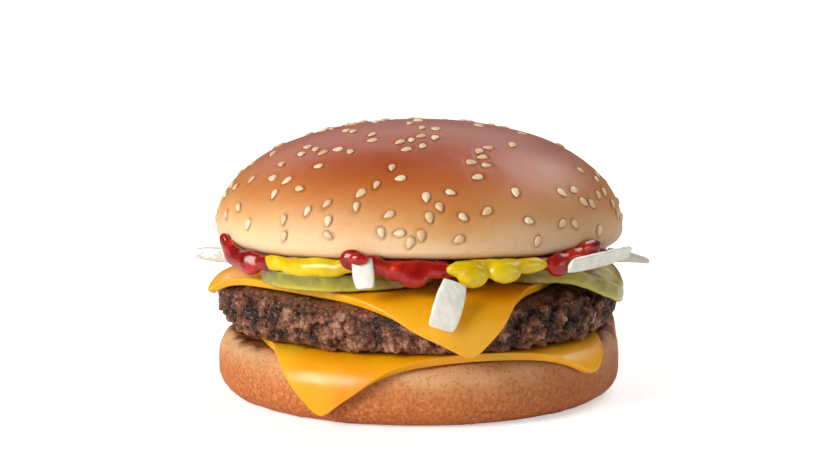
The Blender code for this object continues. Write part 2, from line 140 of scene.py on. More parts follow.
# Soft lights: place, what they face, size in metres and power in watts
LIGHTS = {
    "key": ((-0.66, -0.52, 0.36), (0, 0, 0.03), (0.5, 0.45), 8.0),
    "fill": ((0.75, -0.35, 0.1), (0, 0, 0.03), (0.5, 0.3), 1.2),
    "sheen": ((0.34, 0.22, 0.46), (0.02, -0.03, 0.05), (0.5, 0.3), 1.7),
    "back": ((-0.15, 0.75, 0.55), (0, 0, 0.05), (0.8, 0.4), 1.2),
}
WORLD_FILL = 0.11

# Camera at the photograph's angle
CAMERA_PLACE = (0, -0.4327, 0.0923)
CAMERA_TILT = 83.022
CAMERA_LENS = 76.23
CAMERA_SENSOR = 36.0
CAMERA_SHIFT = -0.0048


# Tools for shaping


def place(radius, bearing, height):
    angle = math.radians(bearing)
    return Vector((radius * math.sin(angle), -radius * math.cos(angle), height))


def bearing_of(point):
    return math.degrees(math.atan2(point[0], -point[1]))


def nearness(bearing, centre, spread):
    off = (bearing - centre + 180) % 360 - 180
    return math.exp(-((off / spread) ** 2))


def arc(centre, half_axes, start, end, steps):
    points = []
    for i in range(steps + 1):
        angle = math.radians(start + (end - start) * i / steps)
        outward, upward = half_axes[0] * math.cos(angle), half_axes[1] * math.sin(angle)
        points.append((centre[0] + outward, centre[1] + upward))
    return points


def nothing_selected():
    if bpy.context.mode != "OBJECT":
        bpy.ops.object.mode_set(mode="OBJECT")
    bpy.ops.object.select_all(action="DESELECT")


def pick(*objects):
    nothing_selected()
    for obj in objects:
        obj.select_set(True)
    bpy.context.view_layer.objects.active = objects[0]


def settle_place(obj, name):
    """Names a piece and puts its place into its mesh."""
    pick(obj)
    bpy.ops.object.transform_apply(location=True, rotation=True, scale=True)
    obj.name = name
    obj.data.name = name
    return obj


def shaped_by(obj, kind, **settings):
    """Adds a modifier and applies it."""
    pick(obj)
    modifier = obj.modifiers.new(kind.lower(), kind)
    for key, value in settings.items():
        setattr(modifier, key, value)
    bpy.ops.object.modifier_apply(modifier=modifier.name)
    return obj


def smoothed(obj, levels):
    return shaped_by(obj, "SUBSURF", levels=levels, render_levels=levels)


def relief(obj, kind, size, strength, mid=0.5, group="", **settings):
    """Pushes the surface along its normals by a procedural texture."""
    texture = bpy.data.textures.new(f"{obj.name}_{kind.lower()}", kind)
    texture.noise_scale = size
    for key, value in settings.items():
        setattr(texture, key, value)
    where = {"texture": texture, "texture_coords": "LOCAL", "vertex_group": group}
    return shaped_by(obj, "DISPLACE", strength=strength, mid_level=mid, **where)


def weight(obj, name, rule):
    """A vertex group whose weights come from rule(point)."""
    group = obj.vertex_groups.new(name=name)
    for vert in obj.data.vertices:
        group.add([vert.index], min(1.0, max(0.0, rule(vert.co))), "REPLACE")
    return name


def tint(obj, name, values):
    """A value for each vertex that the material reads."""
    attribute = obj.data.attributes.new(name, "FLOAT", "POINT")
    attribute.data.foreach_set("value", values)


def turned(name, profile, segments):
    """A round piece: its profile is drawn point by point from near the axis, then spun round."""
    nothing_selected()
    (radius, height), *rest = profile
    bpy.ops.mesh.primitive_plane_add(size=1.0, location=(0, 0, 0))
    obj = bpy.context.object
    bpy.ops.object.mode_set(mode="EDIT")
    bpy.ops.mesh.select_mode(type="VERT")
    bpy.ops.mesh.select_all(action="SELECT")
    bpy.ops.mesh.merge(type="CENTER")
    bpy.ops.transform.translate(value=(0, -radius, height))
    for next_radius, next_height in rest:
        step = (0, radius - next_radius, next_height - height)
        bpy.ops.mesh.extrude_vertices_move(TRANSFORM_OT_translate={"value": step})
        radius, height = next_radius, next_height
    settle_place(obj, name)
    seam = {"use_merge_vertices": True, "merge_threshold": 0.001 * mm}
    shaped_by(obj, "SCREW", steps=segments, render_steps=segments, **seam)
    bpy.ops.object.mode_set(mode="EDIT")
    bpy.ops.mesh.select_all(action="SELECT")
    bpy.ops.mesh.normals_make_consistent(inside=False)
    bpy.ops.object.mode_set(mode="OBJECT")
    return obj


def moved(obj, rule):
    """Moves every vertex to rule(point)."""
    for vert in obj.data.vertices:
        vert.co = rule(vert.co)
    obj.data.update()
    return obj


def copy_of(node, name, quads=True):
    """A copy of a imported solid's mesh, its loose triangles joined."""
    nothing_selected()
    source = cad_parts[node]
    obj = bpy.data.objects.new(name, source.data.copy())
    bpy.context.scene.collection.objects.link(obj)
    obj.data.name = name
    obj.data.materials.clear()
    pick(obj)
    bpy.ops.object.mode_set(mode="EDIT")
    bpy.ops.mesh.select_all(action="SELECT")
    bpy.ops.mesh.remove_doubles(threshold=0.01 * mm)
    if quads:
        bpy.ops.mesh.tris_convert_to_quads(face_threshold=math.radians(60), shape_threshold=math.radians(60))
    bpy.ops.object.mode_set(mode="OBJECT")
    for attribute in list(obj.data.attributes):
        if attribute.name.startswith("custom_normal"):
            obj.data.attributes.remove(attribute)
    return obj


def creased(obj, sharpness, amount):
    """Creases the edges of a piece that turn by more than an angle."""
    mesh = bmesh.new()
    mesh.from_mesh(obj.data)
    creases = mesh.edges.layers.float.new("crease_edge")
    for edge in mesh.edges:
        if edge.is_manifold and edge.calc_face_angle() > math.radians(sharpness):
            edge[creases] = amount
    mesh.to_mesh(obj.data)
    mesh.free()
    return obj


def finished(obj, material, slot, *nodes):
    """Gives a piece its finish and place in the part."""
    obj.data.materials.clear()
    obj.data.materials.append(material)
    obj.data.shade_smooth()
    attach(obj, "root")
    if nodes:
        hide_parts(*nodes)
    return obj


# Tools for finishes


def shared_group(name, inputs, output, wire):
    """A node group that materials share, built once: wire(tree, ends, out) fills it."""
    found = bpy.data.node_groups.get(name)
    if found:
        return found
    tree = bpy.data.node_groups.new(name, "ShaderNodeTree")
    tree.interface.new_socket(name="Vector", in_out="INPUT", socket_type="NodeSocketVector")
    for socket_name, value in inputs.items():
        kind = "NodeSocketColor" if value is None else "NodeSocketFloat"
        socket = tree.interface.new_socket(name=socket_name, in_out="INPUT", socket_type=kind)
        if value is not None:
            socket.default_value = value
    tree.interface.new_socket(name=output[0], in_out="OUTPUT", socket_type=output[1])
    wire(tree, tree.nodes.new("NodeGroupInput"), tree.nodes.new("NodeGroupOutput"))
    return tree


def noise_in(tree, ends, scale):
    texture = tree.nodes.new("ShaderNodeTexNoise")
    sources = {"Vector": "Vector", "Scale": scale, "Detail": "Detail", "Roughness": "Grain"}
    for name, source in sources.items():
        tree.links.new(ends.outputs[source], texture.inputs[name])
    return texture.outputs["Fac"]


def colour_drift():
    """Three colours that drift into each other over the surface."""

    def wire(tree, ends, out):
        cloud = noise_in(tree, ends, "Scale")
        colour = ends.outputs["Dark"]
        for low, high, name in ((0.30, 0.5, "Middle"), (0.5, 0.70, "Light")):
            share = tree.nodes.new("ShaderNodeMapRange")
            share.inputs["From Min"].default_value = low
            share.inputs["From Max"].default_value = high
            tree.links.new(cloud, share.inputs["Value"])
            mix = tree.nodes.new("ShaderNodeMix")
            mix.data_type = "RGBA"
            tree.links.new(share.outputs["Result"], mix.inputs[0])
            tree.links.new(colour, mix.inputs[6])
            tree.links.new(ends.outputs[name], mix.inputs[7])
            colour = mix.outputs[2]
        tree.links.new(colour, out.inputs["Color"])

    inputs = {"Scale": 100.0, "Detail": 3.0, "Grain": 0.55, "Dark": None, "Middle": None, "Light": None}
    return shared_group("colour_drift", inputs, ("Color", "NodeSocketColor"), wire)


def uneven_gloss():
    """A roughness that varies in patches."""

    def wire(tree, ends, out):
        share = tree.nodes.new("ShaderNodeMapRange")
        share.inputs["From Min"].default_value = 0.33
        share.inputs["From Max"].default_value = 0.67
        tree.links.new(noise_in(tree, ends, "Scale"), share.inputs["Value"])
        tree.links.new(ends.outputs["Smoothest"], share.inputs["To Min"])
        tree.links.new(ends.outputs["Roughest"], share.inputs["To Max"])
        tree.links.new(share.outputs["Result"], out.inputs["Roughness"])

    inputs = {"Scale": 200.0, "Detail": 2.0, "Grain": 0.5, "Smoothest": 0.2, "Roughest": 0.5}
    return shared_group("uneven_gloss", inputs, ("Roughness", "NodeSocketFloat"), wire)


def fine_grain():
    """A grainy normal of two sizes, the finer on top of the other."""

    def wire(tree, ends, out):
        normal = None
        for scale, depth in (("Scale", "Depth"), ("Fine Scale", "Fine Depth")):
            bump = tree.nodes.new("ShaderNodeBump")
            tree.links.new(noise_in(tree, ends, scale), bump.inputs["Height"])
            tree.links.new(ends.outputs[depth], bump.inputs["Distance"])
            tree.links.new(ends.outputs["Strength"], bump.inputs["Strength"])
            if normal:
                tree.links.new(normal, bump.inputs["Normal"])
            normal = bump.outputs["Normal"]
        tree.links.new(normal, out.inputs["Normal"])

    inputs = {"Scale": 300.0, "Fine Scale": 1500.0, "Detail": 3.0, "Grain": 0.55}
    inputs |= {"Depth": 0.2 * mm, "Fine Depth": 0.05 * mm, "Strength": 0.5}
    return shared_group("fine_grain", inputs, ("Normal", "NodeSocketVector"), wire)


class Finish:
    """A material built from named nodes, read in Object coordinates."""

    def __init__(self, name):
        self.material = bpy.data.materials.new(name)
        self.material.use_nodes = True
        self.tree = self.material.node_tree
        self.shader = self.tree.nodes["Principled BSDF"]
        self.place = self.add("ShaderNodeTexCoord").outputs["Object"]

    def add(self, kind, inputs=None, **settings):
        made = self.tree.nodes.new(kind)
        for key, value in settings.items():
            setattr(made, key, value)
        for key, value in (inputs or {}).items():
            self.feed(value, made.inputs[key])
        return made

    def feed(self, value, socket):
        if isinstance(value, bpy.types.NodeSocket):
            self.tree.links.new(value, socket)
        else:
            socket.default_value = value

    def set(self, **values):
        for key, value in values.items():
            self.feed(value, self.shader.inputs[key.replace("_", " ")])
        return self

    def noise(self, scale, detail=4.0, roughness=0.55, distortion=0.0, at=None):
        inputs = {"Vector": at or self.place, "Scale": scale, "Detail": detail}
        inputs |= {"Roughness": roughness, "Distortion": distortion}
        return self.add("ShaderNodeTexNoise", inputs).outputs["Fac"]

    def group(self, tree, **values):
        """A shared node group, its inputs given by name."""
        made = self.tree.nodes.new("ShaderNodeGroup")
        made.node_tree = tree
        self.feed(self.place, made.inputs["Vector"])
        for key, value in values.items():
            self.feed(value, made.inputs[key.replace("_", " ")])
        return made.outputs[0]

    def grainy(self, scale, fine_scale, depth, fine_depth):
        """Grain of two sizes, its depths in millimetres."""
        depths = {"Depth": depth * mm, "Fine_Depth": fine_depth * mm}
        self.set(Normal=self.group(fine_grain(), Scale=scale, Fine_Scale=fine_scale, **depths))

    def glossy(self, scale, smoothest, roughest, detail=2.0):
        gloss = {"Scale": scale, "Detail": detail, "Smoothest": smoothest, "Roughest": roughest}
        self.set(Roughness=self.group(uneven_gloss(), **gloss))

    def deep(self, weight, radius, scale):
        """Light that goes into the food and comes out again."""
        self.shader.inputs["Subsurface Weight"].default_value = weight
        self.shader.inputs["Subsurface Radius"].default_value = radius
        self.shader.inputs["Subsurface Scale"].default_value = scale

    def shine(self, level):
        self.shader.inputs["Specular IOR Level"].default_value = level

    def wet(self, weight, roughness):
        self.shader.inputs["Coat Weight"].default_value = weight
        self.shader.inputs["Coat Roughness"].default_value = roughness

    def reach(self, value, low, high, to_low=0.0, to_high=1.0):
        inputs = {"Value": value, "From Min": low, "From Max": high, "To Min": to_low, "To Max": to_high}
        return self.add("ShaderNodeMapRange", inputs).outputs["Result"]

    def math(self, operation, first, second=0.0):
        made = self.add("ShaderNodeMath", operation=operation)
        self.feed(first, made.inputs[0])
        self.feed(second, made.inputs[1])
        return made.outputs[0]

    def blend(self, share, first, second, way="MIX"):
        made = self.add("ShaderNodeMix", data_type="RGBA", blend_type=way)
        self.feed(share, made.inputs[0])
        self.feed(first, made.inputs[6])
        self.feed(second, made.inputs[7])
        return made.outputs[2]

    def bands(self, value, *stops):
        """A colour ramp of (position, colour) stops."""
        made = self.add("ShaderNodeValToRGB", {"Fac": value})
        elements = made.color_ramp.elements
        while len(elements) < len(stops):
            elements.new(0.5)
        for element, (position, colour) in zip(elements, stops):
            element.position = position
            element.color = (*colour, 1.0)
        return made.outputs["Color"]

    def along(self, axis):
        return self.add("ShaderNodeSeparateXYZ", {0: self.place}).outputs[axis]

    def value(self, name):
        return self.add("ShaderNodeAttribute", attribute_name=name).outputs["Fac"]

    def bump(self, height, distance, strength=1.0, under=None):
        inputs = {"Height": height, "Distance": distance, "Strength": strength}
        if under:
            inputs["Normal"] = under
        return self.add("ShaderNodeBump", inputs).outputs["Normal"]

    def stretched(self, scale, turn=0.0):
        inputs = {"Vector": self.place, "Scale": scale, "Rotation": (0, 0, turn)}
        return self.add("ShaderNodeMapping", inputs).outputs["Vector"]


def rgb(red, green, blue):
    """A display colour of 0 to 255 as the linear colour that a shader takes."""
    def linear(value):
        value /= 255
        return value / 12.92 if value <= 0.04045 else ((value + 0.055) / 1.055) ** 2.4
    return (linear(red), linear(green), linear(blue))


def rgba(red, green, blue):
    return (*rgb(red, green, blue), 1.0)


# Bun


def heel_rim(bearing):
    radius, height = HEEL_RIM
    for centre, spread, outward, upward in HEEL_SWELLS:
        share = nearness(bearing, centre, spread)
        radius += outward * share
        height += upward * share
    return radius, height


def heel_shape(bearing):
    """The heel's profile from the middle of the dish to the middle of the foot."""
    radius, height = heel_rim(bearing)
    dish = radius - HEEL_DISH
    middle = (dish + radius) / 2, HEEL_HEIGHT + HEEL_DISH_RISE * (height - HEEL_HEIGHT)
    side = arc((radius, HEEL_WIDEST), (HEEL_RADIUS - radius, height - HEEL_WIDEST), 90, 0, 14)
    foot_axes = HEEL_RADIUS - HEEL_FOOT_RADIUS, HEEL_FOOT_ROUND
    foot = arc((HEEL_FOOT_RADIUS, HEEL_FOOT_ROUND), foot_axes, -5, -90, 15)
    inner = [(dish * share, HEEL_HEIGHT) for share in (0.0, 0.3, 0.5, 0.65, 0.75, 0.82, 0.88, 0.94, 1.0)]
    under = [(HEEL_FOOT_RADIUS * share, 0.0) for share in (0.97, 0.93, 0.75, 0.5, 0.25, 0.0)]
    slope = []
    for start, end in (((dish, HEEL_HEIGHT), middle), (middle, (radius, height))):
        slope += [tuple(a + (b - a) * share for a, b in zip(start, end)) for share in (0.33, 0.66, 1.0)]
    return [*inner, *slope[:-1], *side, *foot, *under]


def fitted(obj, plain, profile_at):
    """Moves each ring of a turned piece to the profile at its own bearing."""
    tree = kdtree.KDTree(len(plain))
    for i, (radius, height) in enumerate(plain):
        tree.insert((radius, height, 0), i)
    tree.balance()
    profiles = {}
    for vert in obj.data.vertices:
        radius = math.hypot(vert.co.x, vert.co.y)
        if radius < 0.001 * mm:
            continue
        ring = tree.find((radius, vert.co.z, 0))[1]
        bearing = bearing_of(vert.co)
        key = round(bearing, 2)
        if key not in profiles:
            profiles[key] = profile_at(bearing)
        vert.co = place(profiles[key][ring][0], bearing, profiles[key][ring][1])
    obj.data.update()
    return obj


def make_heel():
    plain = heel_shape(0.0)
    heel = turned("heel_bun", plain, HEEL_SEGMENTS)
    fitted(heel, plain, heel_shape)
    shaped_by(heel, "SMOOTH", factor=0.5, iterations=3)
    side = weight(heel, "side", lambda p: (p.xy.length / mm - 38.0) / 5.0 if p.z > 0.4 * mm else 0.0)
    relief(heel, "CLOUDS", 9.0 * mm, 0.7 * mm, 0.5, side)
    relief(heel, "CLOUDS", 1.3 * mm, 0.22 * mm, 0.5, side, noise_depth=3)
    return finished(heel, heel_finish(), "crumb", "heel")


def heel_finish():
    made = Finish("golden_bun_side")
    height = made.along("Z")
    cloud = made.noise(60, 3)
    shoulder = made.math("ADD", height, made.reach(cloud, 0.3, 0.7, -1.6 * mm, 1.6 * mm))
    side = made.bands(
        made.reach(shoulder, 0.0, 20 * mm),
        (0.0, rgb(178, 96, 44)),
        (0.16, rgb(196, 106, 48)),
        (0.38, rgb(200, 116, 60)),
        (0.52, rgb(214, 146, 92)),
        (0.62, rgb(232, 182, 134)),
        (0.86, rgb(226, 176, 128)),
    )
    grain = made.noise(1250, 3, 0.6)
    side = made.blend(made.reach(grain, 0.50, 0.66, 0.0, 0.5), side, rgba(240, 174, 106))
    side = made.blend(made.reach(grain, 0.34, 0.46, 0.5, 0.0), side, rgba(128, 62, 26))
    patches = made.reach(made.noise(42, 2), 0.4, 0.68, 0.0, 0.4)
    side = made.blend(patches, side, rgba(206, 116, 46))
    streaks = made.noise(1.0, 5, 0.7, 0.5, made.stretched((150, 420, 420), 0.4))
    burnt = made.bands(
        streaks,
        (0.36, rgb(58, 26, 12)),
        (0.50, rgb(118, 60, 28)),
        (0.58, rgb(176, 112, 62)),
        (0.68, rgb(226, 176, 122)),
    )
    # Painted shade: the side is darker towards +X, the shaded right side
    side = made.blend(made.reach(made.along("X"), 5 * mm, 50 * mm, 0.0, 0.45), side, rgba(116, 58, 28))
    colour = made.blend(made.value("toast"), side, burnt)
    pits = made.bump(grain, 0.2 * mm, 0.5)
    fine = made.bump(made.noise(2600, 4, 0.7), 0.12 * mm, 0.6, pits)
    made.set(Base_Color=colour, Normal=fine)
    made.glossy(500, 0.5, 0.72)
    made.shine(0.35)
    return made.material


def toast_of(point):
    """How toasted the heel is at a point: its cut face, and what laps over the rim at both sides."""
    bearing = bearing_of(point)
    radius, _ = heel_rim(bearing)
    edge, lowest = radius + 0.3 * mm, HEEL_HEIGHT - 2.0 * mm
    for centre, spread, outward, downward in HEEL_TOAST:
        share = nearness(bearing, centre, spread)
        edge += outward * share
        lowest -= downward * share
    inwards = (edge - math.hypot(point.x, point.y)) / HEEL_TOAST_EDGE
    ragged = 0.9 * noise.noise(point * 220) + 0.6 * noise.noise(point * 600)
    up = min(1.0, max(0.0, (point.z - lowest) / mm))
    return min(1.0, max(0.0, inwards + ragged)) * up


def crown_lift(bearing, radius, height):
    front = max(0.0, math.cos(math.radians(bearing))) ** 2
    inwards = min(1.0, radius / CROWN_CUT_RADIUS) ** 2
    low = max(0.0, (CROWN_WIDEST - height) / (CROWN_WIDEST - CROWN_BASE))
    return CROWN_FRONT_LIFT * front * inwards * low


def dome_radius(share):
    return CROWN_RADIUS * max(0.0, 1 - share**CROWN_POWER) ** (1 / CROWN_POWER)


def dome_point(bearing, share):
    rise = CROWN_TOP - CROWN_WIDEST
    radius = dome_radius(share)
    slope_out = (radius / CROWN_RADIUS) ** (CROWN_POWER - 1) / CROWN_RADIUS
    slope_up = share ** (CROWN_POWER - 1) / rise
    point = place(radius, bearing, CROWN_WIDEST + share * rise)
    return point, place(slope_out, bearing, slope_up).normalized()


def crown_shape():
    rise = CROWN_TOP - CROWN_WIDEST
    face = [(CROWN_CUT_RADIUS * share, CROWN_BASE) for share in (0.0, 0.2, 0.4, 0.6, 0.75, 0.86, 0.94)]
    half_axes = CROWN_RADIUS - CROWN_CUT_RADIUS, CROWN_WIDEST - CROWN_BASE
    edge = arc((CROWN_CUT_RADIUS, CROWN_WIDEST), half_axes, -90, 0, 15)
    dome = []
    for degrees in range(1, 91):
        share = math.sin(math.radians(degrees)) ** (2 / CROWN_POWER)
        dome.append((dome_radius(share), CROWN_WIDEST + share * rise))
    return [*face, *edge, *dome]


def seed_spots():
    """Seed centres, normals and turns, by the same draw as in the solid."""
    draw = random.Random(SEED_DRAW)
    spots = []
    while len(spots) < SEED_COUNT:
        share = 1 - (1 - SEED_LOWEST) * draw.random() ** SEED_CROWDING
        centre, normal = dome_point(draw.uniform(-180, 180), share)
        turn = draw.uniform(0, math.pi)
        if all((centre - other).length > SEED_SPACING for other, _, _ in spots):
            spots.append((centre, normal, turn))
    return spots


def make_crown(spots):
    crown = turned("crown_bun", crown_shape(), CROWN_SEGMENTS)
    moved(crown, lambda p: Vector((p.x, p.y, p.z + crown_lift(bearing_of(p), p.xy.length, p.z))))
    skin = weight(crown, "skin", lambda p: (p.xy.length / mm - 30.0) / 8.0 if p.z < CROWN_WIDEST else 1.0)
    relief(crown, "CLOUDS", 26.0 * mm, 0.8 * mm, 0.85, skin)
    relief(crown, "CLOUDS", 5.0 * mm, 0.12 * mm, 0.5, skin)
    tree = kdtree.KDTree(len(spots))
    for i, (centre, _, _) in enumerate(spots):
        tree.insert(centre, i)
    tree.balance()
    rings = []
    half_length, half_width, _ = SEED_SIZE
    for vert in crown.data.vertices:
        centre, i, distance = tree.find(vert.co)
        ring = 0.0
        if distance < 4 * mm:
            _, normal, turn = spots[i]
            along, across = seed_axes(normal, turn)
            offset = vert.co - centre
            reach = math.hypot(offset.dot(along) / half_length, offset.dot(across) / half_width) / 0.9
            # A painted contact shadow round the seed's edge, with a shallow groove pressed in under it
            ring = max(0.0, 1 - abs(reach - 1.0) / 0.45)
            vert.co -= normal * (0.16 * mm * max(0.0, 1 - abs(reach - 1.1) / 0.6))
        rings.append(ring)
    tint(crown, "seed_ring", rings)
    crown.data.update()
    return finished(crown, crown_finish(), "crust", "crown")


def crown_finish():
    made = Finish("egg_washed_crust")
    height = made.along("Z")
    drift = made.reach(made.noise(34, 3, 0.5), 0.25, 0.75, -2.6 * mm, 2.6 * mm)
    level = made.math("ADD", height, drift)
    crust = made.bands(
        made.reach(level, 34 * mm, 67 * mm),
        (0.0, rgb(238, 204, 160)),
        (0.14, rgb(242, 210, 170)),
        (0.27, rgb(238, 198, 150)),
        (0.38, rgb(222, 166, 106)),
        (0.50, rgb(208, 138, 74)),
        (0.66, rgb(190, 104, 46)),
        (0.82, rgb(172, 78, 28)),
        (1.0, rgb(162, 64, 22)),
    )
    mottle = made.reach(made.noise(190, 5, 0.6), 0.38, 0.68, 0.0, 0.25)
    crust = made.blend(mottle, crust, rgba(226, 140, 62), "SOFT_LIGHT")
    fleck = made.reach(made.noise(1100, 4, 0.7), 0.56, 0.75, 0.0, 0.22)
    crust = made.blend(fleck, crust, rgba(146, 76, 34))
    # Painted contact shadow: a darker ring round each seed
    ring = made.math("MULTIPLY", made.value("seed_ring"), 0.6)
    crust = made.blend(ring, crust, rgba(112, 52, 24))
    # Painted shade: the crust is darker towards +X, the shaded right side
    crust = made.blend(made.reach(made.along("X"), 5 * mm, 50 * mm, 0.0, 0.42), crust, rgba(136, 66, 28))
    cut = made.reach(height, 35.7 * mm, 36.3 * mm, 1.0, 0.0)
    gloss = made.reach(level, 42 * mm, 54 * mm, 0.62, 0.42)
    crumb = made.blend(made.noise(500, 4), rgba(238, 214, 172), rgba(206, 160, 106))
    made.set(Base_Color=made.blend(cut, crust, crumb), Roughness=gloss)
    made.grainy(260, 1700, 0.22, 0.05)
    made.set(Coat_Weight=made.reach(level, 44 * mm, 56 * mm, 0.0, 0.1))
    made.shine(0.4)
    made.shader.inputs["Coat Roughness"].default_value = 0.3
    made.deep(0.08, (1.0, 0.5, 0.25), 1.2 * mm)
    return made.material


def seed_axes(normal, turn):
    across = normal.cross(Vector((0, 0, 1)) if abs(normal.z) < 0.9 else Vector((1, 0, 0))).normalized()
    along = across * math.cos(turn) + normal.cross(across) * math.sin(turn)
    return along, normal.cross(along)


def make_seeds(spots, crown):
    """One teardrop seed, copied to every spot on the crust."""
    nothing_selected()
    bpy.ops.mesh.primitive_uv_sphere_add(segments=10, ring_count=6, radius=1.0)
    pattern = bpy.context.object
    bpy.ops.object.mode_set(mode="EDIT")
    bpy.ops.mesh.select_all(action="SELECT")
    bpy.ops.transform.rotate(value=math.radians(90), orient_axis="Y", center_override=(0, 0, 0))
    bpy.ops.object.mode_set(mode="OBJECT")
    moved(pattern, lambda p: Vector((p.x, p.y * (1 - 0.42 * p.x - 0.1 * p.x * p.x), p.z * (1 - 0.25 * p.x))))
    draw = random.Random(SEED_LOOKS_DRAW)
    half_length, half_width, half_thickness = SEED_SIZE
    copies = []
    for centre, normal, turn in spots:
        along, across = seed_axes(normal, turn)
        centre = crown.closest_point_on_mesh(centre)[1]
        size = draw.uniform(*SEED_SIZES)
        plump = draw.uniform(*SEED_PLUMPNESS)
        lean = draw.uniform(-SEED_LEAN, SEED_LEAN)
        shade = draw.random()
        seed = bpy.data.objects.new("seed", pattern.data.copy())
        bpy.context.scene.collection.objects.link(seed)
        for vert in seed.data.vertices:
            x, y, z = vert.co
            spot = centre + along * (x * half_length * size) + across * (y * half_width * size * plump)
            vert.co = spot + normal * (z * half_thickness * 0.9 + 0.04 * mm + lean * x * half_thickness)
        tint(seed, "seed_shade", [shade] * len(seed.data.vertices))
        copies.append(seed)
    bpy.data.objects.remove(pattern)
    pick(*copies)
    bpy.ops.object.join()
    seeds = settle_place(bpy.context.object, "sesame_seeds")
    return finished(seeds, seed_finish(), "crust", "crown")


def seed_finish():
    made = Finish("sesame_seed")
    shade = made.value("seed_shade")
    tones = rgb(226, 186, 138), rgb(238, 208, 164), rgb(246, 224, 186)
    colour = made.bands(shade, *zip((0.0, 0.5, 1.0), tones))
    flecks = made.reach(made.noise(2600, 3), 0.45, 0.75, 0.0, 0.3)
    colour = made.blend(flecks, colour, rgba(200, 150, 96))
    made.set(Base_Color=colour)
    made.glossy(900, 0.32, 0.5)
    made.grainy(900, 2600, 0.06, 0.02)
    made.deep(0.15, (1.0, 0.7, 0.4), 0.6 * mm)
    return made.material


# Patty


def patty_sizes(bearing):
    sizes = [PATTY_RADIUS, PATTY_FLAT_RADIUS, PATTY_FOOT_RADIUS]
    for centre, spread, *changes in PATTY_CHANGES:
        share = nearness(bearing, centre, spread)
        sizes = [size + change * share for size, change in zip(sizes, changes)]
    return sizes


def patty_shape(bearing):
    widest, flat, foot = patty_sizes(bearing)
    top = [(flat * share, PATTY_TOP) for share in (0.0, 0.3, 0.6, 0.75, 0.85, 0.92, 0.97)]
    shoulder = arc((flat, PATTY_WIDEST), (widest - flat, PATTY_TOP - PATTY_WIDEST), 90, 0, 22)
    side = []
    for i in range(1, 31):
        angle = math.radians(3 * i)
        out = (widest - foot) * math.cos(angle) ** PATTY_FULLNESS
        side.append((foot + out, PATTY_WIDEST - (PATTY_WIDEST - PATTY_BASE) * math.sin(angle)))
    under = [(foot * share, PATTY_BASE) for share in (0.97, 0.92, 0.85, 0.75, 0.5, 0.0)]
    return [*top, *shoulder, *side, *under]


def make_patty():
    """A patty of crumbled beef: its side is broken up by clefts, lumps and grains."""
    plain = patty_shape(-90.0)
    patty = turned("beef_patty", plain, PATTY_SEGMENTS)
    fitted(patty, plain, patty_shape)
    before = [vert.co.copy() for vert in patty.data.vertices]
    middle = (PATTY_BASE + PATTY_TOP) / 2
    half = (PATTY_TOP - PATTY_BASE) / 2

    def share_of(p):
        outward = min(1.0, max(0.0, (math.hypot(p.x, p.y) / mm - 38.0) / 5.0))
        return outward * (1.0 - 0.5 * min(1.0, abs(p.z - middle) / half) ** 3)

    side = weight(patty, "side", share_of)
    relief(patty, "CLOUDS", 10.0 * mm, 2.8 * mm, 0.45, side, noise_depth=1)
    relief(patty, "VORONOI", 4.4 * mm, -3.2 * mm, 0.36, side)
    relief(patty, "VORONOI", 1.5 * mm, -1.6 * mm, 0.42, side)
    relief(patty, "CLOUDS", 0.6 * mm, 1.2 * mm, 0.5, side, noise_depth=2)
    edge = slice_edge(UPPER_SLICE)
    centre, spread, held_back = LUMPS_HELD_BACK
    depths = []
    for vert, old in zip(patty.data.vertices, before):
        outward = Vector((old.x, old.y, 0)).normalized()
        out = (vert.co - old).dot(outward)
        depths.append(min(1.0, max(0.0, 0.5 + out / LUMP_DEPTH)))
        furthest = LUMPS_OUT - held_back * nearness(bearing_of(old), centre, spread)
        if out > furthest:
            vert.co -= outward * (out - furthest)
        if old.z > PATTY_WIDEST - 1.5 * mm:
            covered = reach_at(edge, bearing_of(old)) - patty_reach(old)
            if covered > -1.5 * mm:
                spare = max(0.0, (vert.co - old).length - 0.2 * mm)
                vert.co += (old - vert.co).normalized() * spare * min(1.0, 1 + covered / (1.5 * mm))
        under = PATTY_BASE + 0.15 * mm
        vert.co.z = max(vert.co.z, under) if old.z > PATTY_BASE + 0.01 * mm else old.z
    # How far each point stands out, which the finish reads to paint shade into the clefts
    tint(patty, "lump", depths)
    return finished(patty, beef_finish(), "beef", "patty")


def patty_reach(point):
    """How far a slice has to reach over the patty to come to a point of its upper side."""
    _, flat, _ = patty_sizes(bearing_of(point))
    across = math.hypot(point.x, point.y)
    return across if across < flat else flat + math.hypot(across - flat, PATTY_TOP - point.z)


